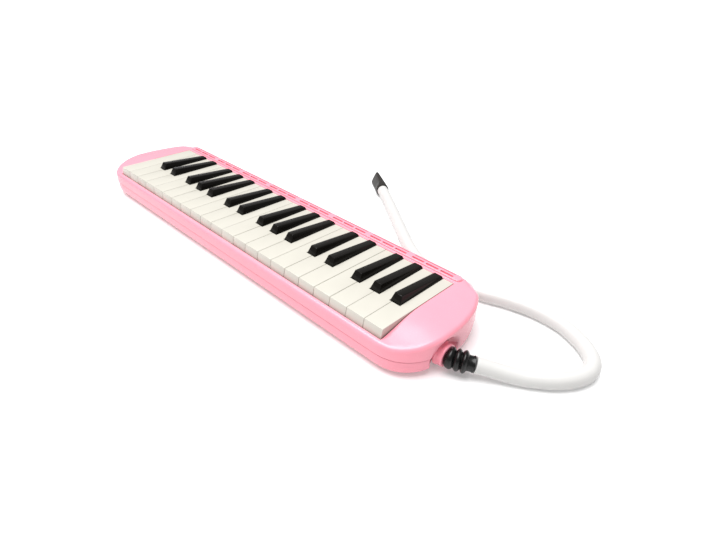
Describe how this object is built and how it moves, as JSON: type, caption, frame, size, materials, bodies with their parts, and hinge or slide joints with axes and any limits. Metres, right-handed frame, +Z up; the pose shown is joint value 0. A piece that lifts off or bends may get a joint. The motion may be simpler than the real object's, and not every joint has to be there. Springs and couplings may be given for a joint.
{
  "type": "melodica",
  "caption": "Free-reed wind keyboard in a round-ended case, with a flexible blow tube and a flat mouthpiece.",
  "frame": {"origin": "on the surface that it stands on, under the middle of the case's plan (the blow tube left out)", "axes": "+X along the keyboard towards the air inlet and the low keys, +Y from the keys' front edges to the sound slots, +Z up"},
  "size_m": [0.4955, 0.2273, 0.0364],
  "materials": {
    "pink_gloss_plastic": "moulded ABS, glossy",
    "ivory_plastic": "moulded ABS, glossy, warm white",
    "black_gloss_plastic": "moulded ABS, glossy",
    "grey_plastic": "moulded, fine matt",
    "reed_brass": "rolled plate",
    "steel": "bright wire and rod",
    "stop_felt": "pressed wool felt",
    "black_rubber": "moulded, slightly shiny",
    "seal_rubber": "soft, matt",
    "milky_hose": "flexible hose, translucent white, satin",
    "dark_grey_plastic": "moulded, satin"
  },
  "bodies": {
    "case": {"top_case": "pink_gloss_plastic", "bottom_case": "pink_gloss_plastic", "air_chamber": "grey_plastic", "chamber_cover": "grey_plastic", "chamber_gasket": "seal_rubber", "reed_plate_low": "reed_brass", "reed_plate_high": "reed_brass", "key_pivot_rod": "steel", "key_spring_comb": "steel", "key_stop_felt": "stop_felt", "inlet_seal": "seal_rubber", "inlet_socket": "pink_gloss_plastic", "tube_adapter": "black_rubber", "blow_tube": "milky_hose", "mouthpiece": "dark_grey_plastic", "drain_spring": "steel", "case_screw_1": "steel", "case_screw_2": "steel", "case_screw_3": "steel", "case_screw_4": "steel"},
    "key_f3": {"key_f3": "ivory_plastic"},
    "key_fs3": {"key_fs3": "black_gloss_plastic"},
    "key_g3": {"key_g3": "ivory_plastic"},
    "key_gs3": {"key_gs3": "black_gloss_plastic"},
    "key_a3": {"key_a3": "ivory_plastic"},
    "key_as3": {"key_as3": "black_gloss_plastic"},
    "key_b3": {"key_b3": "ivory_plastic"},
    "key_c4": {"key_c4": "ivory_plastic"},
    "key_cs4": {"key_cs4": "black_gloss_plastic"},
    "key_d4": {"key_d4": "ivory_plastic"},
    "key_ds4": {"key_ds4": "black_gloss_plastic"},
    "key_e4": {"key_e4": "ivory_plastic"},
    "key_f4": {"key_f4": "ivory_plastic"},
    "key_fs4": {"key_fs4": "black_gloss_plastic"},
    "key_g4": {"key_g4": "ivory_plastic"},
    "key_gs4": {"key_gs4": "black_gloss_plastic"},
    "key_a4": {"key_a4": "ivory_plastic"},
    "key_as4": {"key_as4": "black_gloss_plastic"},
    "key_b4": {"key_b4": "ivory_plastic"},
    "key_c5": {"key_c5": "ivory_plastic"},
    "key_cs5": {"key_cs5": "black_gloss_plastic"},
    "key_d5": {"key_d5": "ivory_plastic"},
    "key_ds5": {"key_ds5": "black_gloss_plastic"},
    "key_e5": {"key_e5": "ivory_plastic"},
    "key_f5": {"key_f5": "ivory_plastic"},
    "key_fs5": {"key_fs5": "black_gloss_plastic"},
    "key_g5": {"key_g5": "ivory_plastic"},
    "key_gs5": {"key_gs5": "black_gloss_plastic"},
    "key_a5": {"key_a5": "ivory_plastic"},
    "key_as5": {"key_as5": "black_gloss_plastic"},
    "key_b5": {"key_b5": "ivory_plastic"},
    "key_c6": {"key_c6": "ivory_plastic"},
    "key_cs6": {"key_cs6": "black_gloss_plastic"},
    "key_d6": {"key_d6": "ivory_plastic"},
    "key_ds6": {"key_ds6": "black_gloss_plastic"},
    "key_e6": {"key_e6": "ivory_plastic"},
    "key_f6": {"key_f6": "ivory_plastic"},
    "drain": {"drain_button": "pink_gloss_plastic", "drain_seal": "seal_rubber"}
  },
  "joints": [
    {"name": "key_f3_hinge", "type": "hinge", "parent": "case", "child": "key_f3", "pos_m": [0.17378, 0.022, 0.022], "axis": [1, 0, 0], "range_deg": [0, 3.2], "stiffness_Nm_per_rad": 0.4, "springref_deg": -3.44},
    {"name": "key_fs3_hinge", "type": "hinge", "parent": "case", "child": "key_fs3", "pos_m": [0.1646, 0.022, 0.022], "axis": [1, 0, 0], "range_deg": [0, 3.2], "stiffness_Nm_per_rad": 0.4, "springref_deg": -3.44},
    {"name": "key_g3_hinge", "type": "hinge", "parent": "case", "child": "key_g3", "pos_m": [0.1552, 0.022, 0.022], "axis": [1, 0, 0], "range_deg": [0, 3.2], "stiffness_Nm_per_rad": 0.4, "springref_deg": -3.44},
    {"name": "key_gs3_hinge", "type": "hinge", "parent": "case", "child": "key_gs3", "pos_m": [0.1458, 0.022, 0.022], "axis": [1, 0, 0], "range_deg": [0, 3.2], "stiffness_Nm_per_rad": 0.4, "springref_deg": -3.44},
    {"name": "key_a3_hinge", "type": "hinge", "parent": "case", "child": "key_a3", "pos_m": [0.1364, 0.022, 0.022], "axis": [1, 0, 0], "range_deg": [0, 3.2], "stiffness_Nm_per_rad": 0.4, "springref_deg": -3.44},
    {"name": "key_as3_hinge", "type": "hinge", "parent": "case", "child": "key_as3", "pos_m": [0.127, 0.022, 0.022], "axis": [1, 0, 0], "range_deg": [0, 3.2], "stiffness_Nm_per_rad": 0.4, "springref_deg": -3.44},
    {"name": "key_b3_hinge", "type": "hinge", "parent": "case", "child": "key_b3", "pos_m": [0.11782, 0.022, 0.022], "axis": [1, 0, 0], "range_deg": [0, 3.2], "stiffness_Nm_per_rad": 0.4, "springref_deg": -3.44},
    {"name": "key_c4_hinge", "type": "hinge", "parent": "case", "child": "key_c4", "pos_m": [0.10852, 0.022, 0.022], "axis": [1, 0, 0], "range_deg": [0, 3.2], "stiffness_Nm_per_rad": 0.4, "springref_deg": -3.44},
    {"name": "key_cs4_hinge", "type": "hinge", "parent": "case", "child": "key_cs4", "pos_m": [0.0989, 0.022, 0.022], "axis": [1, 0, 0], "range_deg": [0, 3.2], "stiffness_Nm_per_rad": 0.4, "springref_deg": -3.44},
    {"name": "key_d4_hinge", "type": "hinge", "parent": "case", "child": "key_d4", "pos_m": [0.0891, 0.022, 0.022], "axis": [1, 0, 0], "range_deg": [0, 3.2], "stiffness_Nm_per_rad": 0.4, "springref_deg": -3.44},
    {"name": "key_ds4_hinge", "type": "hinge", "parent": "case", "child": "key_ds4", "pos_m": [0.0793, 0.022, 0.022], "axis": [1, 0, 0], "range_deg": [0, 3.2], "stiffness_Nm_per_rad": 0.4, "springref_deg": -3.44},
    {"name": "key_e4_hinge", "type": "hinge", "parent": "case", "child": "key_e4", "pos_m": [0.06968, 0.022, 0.022], "axis": [1, 0, 0], "range_deg": [0, 3.2], "stiffness_Nm_per_rad": 0.4, "springref_deg": -3.44},
    {"name": "key_f4_hinge", "type": "hinge", "parent": "case", "child": "key_f4", "pos_m": [0.06037, 0.022, 0.022], "axis": [1, 0, 0], "range_deg": [0, 3.2], "stiffness_Nm_per_rad": 0.4, "springref_deg": -3.44},
    {"name": "key_fs4_hinge", "type": "hinge", "parent": "case", "child": "key_fs4", "pos_m": [0.0512, 0.022, 0.022], "axis": [1, 0, 0], "range_deg": [0, 3.2], "stiffness_Nm_per_rad": 0.4, "springref_deg": -3.44},
    {"name": "key_g4_hinge", "type": "hinge", "parent": "case", "child": "key_g4", "pos_m": [0.0418, 0.022, 0.022], "axis": [1, 0, 0], "range_deg": [0, 3.2], "stiffness_Nm_per_rad": 0.4, "springref_deg": -3.44},
    {"name": "key_gs4_hinge", "type": "hinge", "parent": "case", "child": "key_gs4", "pos_m": [0.0324, 0.022, 0.022], "axis": [1, 0, 0], "range_deg": [0, 3.2], "stiffness_Nm_per_rad": 0.4, "springref_deg": -3.44},
    {"name": "key_a4_hinge", "type": "hinge", "parent": "case", "child": "key_a4", "pos_m": [0.023, 0.022, 0.022], "axis": [1, 0, 0], "range_deg": [0, 3.2], "stiffness_Nm_per_rad": 0.4, "springref_deg": -3.44},
    {"name": "key_as4_hinge", "type": "hinge", "parent": "case", "child": "key_as4", "pos_m": [0.0136, 0.022, 0.022], "axis": [1, 0, 0], "range_deg": [0, 3.2], "stiffness_Nm_per_rad": 0.4, "springref_deg": -3.44},
    {"name": "key_b4_hinge", "type": "hinge", "parent": "case", "child": "key_b4", "pos_m": [0.00443, 0.022, 0.022], "axis": [1, 0, 0], "range_deg": [0, 3.2], "stiffness_Nm_per_rad": 0.4, "springref_deg": -3.44},
    {"name": "key_c5_hinge", "type": "hinge", "parent": "case", "child": "key_c5", "pos_m": [-0.00487, 0.022, 0.022], "axis": [1, 0, 0], "range_deg": [0, 3.2], "stiffness_Nm_per_rad": 0.4, "springref_deg": -3.44},
    {"name": "key_cs5_hinge", "type": "hinge", "parent": "case", "child": "key_cs5", "pos_m": [-0.0145, 0.022, 0.022], "axis": [1, 0, 0], "range_deg": [0, 3.2], "stiffness_Nm_per_rad": 0.4, "springref_deg": -3.44},
    {"name": "key_d5_hinge", "type": "hinge", "parent": "case", "child": "key_d5", "pos_m": [-0.0243, 0.022, 0.022], "axis": [1, 0, 0], "range_deg": [0, 3.2], "stiffness_Nm_per_rad": 0.4, "springref_deg": -3.44},
    {"name": "key_ds5_hinge", "type": "hinge", "parent": "case", "child": "key_ds5", "pos_m": [-0.0341, 0.022, 0.022], "axis": [1, 0, 0], "range_deg": [0, 3.2], "stiffness_Nm_per_rad": 0.4, "springref_deg": -3.44},
    {"name": "key_e5_hinge", "type": "hinge", "parent": "case", "child": "key_e5", "pos_m": [-0.04372, 0.022, 0.022], "axis": [1, 0, 0], "range_deg": [0, 3.2], "stiffness_Nm_per_rad": 0.4, "springref_deg": -3.44},
    {"name": "key_f5_hinge", "type": "hinge", "parent": "case", "child": "key_f5", "pos_m": [-0.05303, 0.022, 0.022], "axis": [1, 0, 0], "range_deg": [0, 3.2], "stiffness_Nm_per_rad": 0.4, "springref_deg": -3.44},
    {"name": "key_fs5_hinge", "type": "hinge", "parent": "case", "child": "key_fs5", "pos_m": [-0.0622, 0.022, 0.022], "axis": [1, 0, 0], "range_deg": [0, 3.2], "stiffness_Nm_per_rad": 0.4, "springref_deg": -3.44},
    {"name": "key_g5_hinge", "type": "hinge", "parent": "case", "child": "key_g5", "pos_m": [-0.0716, 0.022, 0.022], "axis": [1, 0, 0], "range_deg": [0, 3.2], "stiffness_Nm_per_rad": 0.4, "springref_deg": -3.44},
    {"name": "key_gs5_hinge", "type": "hinge", "parent": "case", "child": "key_gs5", "pos_m": [-0.081, 0.022, 0.022], "axis": [1, 0, 0], "range_deg": [0, 3.2], "stiffness_Nm_per_rad": 0.4, "springref_deg": -3.44},
    {"name": "key_a5_hinge", "type": "hinge", "parent": "case", "child": "key_a5", "pos_m": [-0.0904, 0.022, 0.022], "axis": [1, 0, 0], "range_deg": [0, 3.2], "stiffness_Nm_per_rad": 0.4, "springref_deg": -3.44},
    {"name": "key_as5_hinge", "type": "hinge", "parent": "case", "child": "key_as5", "pos_m": [-0.0998, 0.022, 0.022], "axis": [1, 0, 0], "range_deg": [0, 3.2], "stiffness_Nm_per_rad": 0.4, "springref_deg": -3.44},
    {"name": "key_b5_hinge", "type": "hinge", "parent": "case", "child": "key_b5", "pos_m": [-0.10898, 0.022, 0.022], "axis": [1, 0, 0], "range_deg": [0, 3.2], "stiffness_Nm_per_rad": 0.4, "springref_deg": -3.44},
    {"name": "key_c6_hinge", "type": "hinge", "parent": "case", "child": "key_c6", "pos_m": [-0.11828, 0.022, 0.022], "axis": [1, 0, 0], "range_deg": [0, 3.2], "stiffness_Nm_per_rad": 0.4, "springref_deg": -3.44},
    {"name": "key_cs6_hinge", "type": "hinge", "parent": "case", "child": "key_cs6", "pos_m": [-0.1279, 0.022, 0.022], "axis": [1, 0, 0], "range_deg": [0, 3.2], "stiffness_Nm_per_rad": 0.4, "springref_deg": -3.44},
    {"name": "key_d6_hinge", "type": "hinge", "parent": "case", "child": "key_d6", "pos_m": [-0.1377, 0.022, 0.022], "axis": [1, 0, 0], "range_deg": [0, 3.2], "stiffness_Nm_per_rad": 0.4, "springref_deg": -3.44},
    {"name": "key_ds6_hinge", "type": "hinge", "parent": "case", "child": "key_ds6", "pos_m": [-0.1475, 0.022, 0.022], "axis": [1, 0, 0], "range_deg": [0, 3.2], "stiffness_Nm_per_rad": 0.4, "springref_deg": -3.44},
    {"name": "key_e6_hinge", "type": "hinge", "parent": "case", "child": "key_e6", "pos_m": [-0.15712, 0.022, 0.022], "axis": [1, 0, 0], "range_deg": [0, 3.2], "stiffness_Nm_per_rad": 0.4, "springref_deg": -3.44},
    {"name": "key_f6_hinge", "type": "hinge", "parent": "case", "child": "key_f6", "pos_m": [-0.1701, 0.022, 0.022], "axis": [1, 0, 0], "range_deg": [0, 3.2], "stiffness_Nm_per_rad": 0.4, "springref_deg": -3.44},
    {"name": "drain_slide", "type": "slide", "parent": "case", "child": "drain", "axis": [1, 0, 0], "range_m": [0, 0.0025], "stiffness_N_per_m": 300, "springref_m": -0.002, "deforming": ["drain_spring"]}
  ]
}
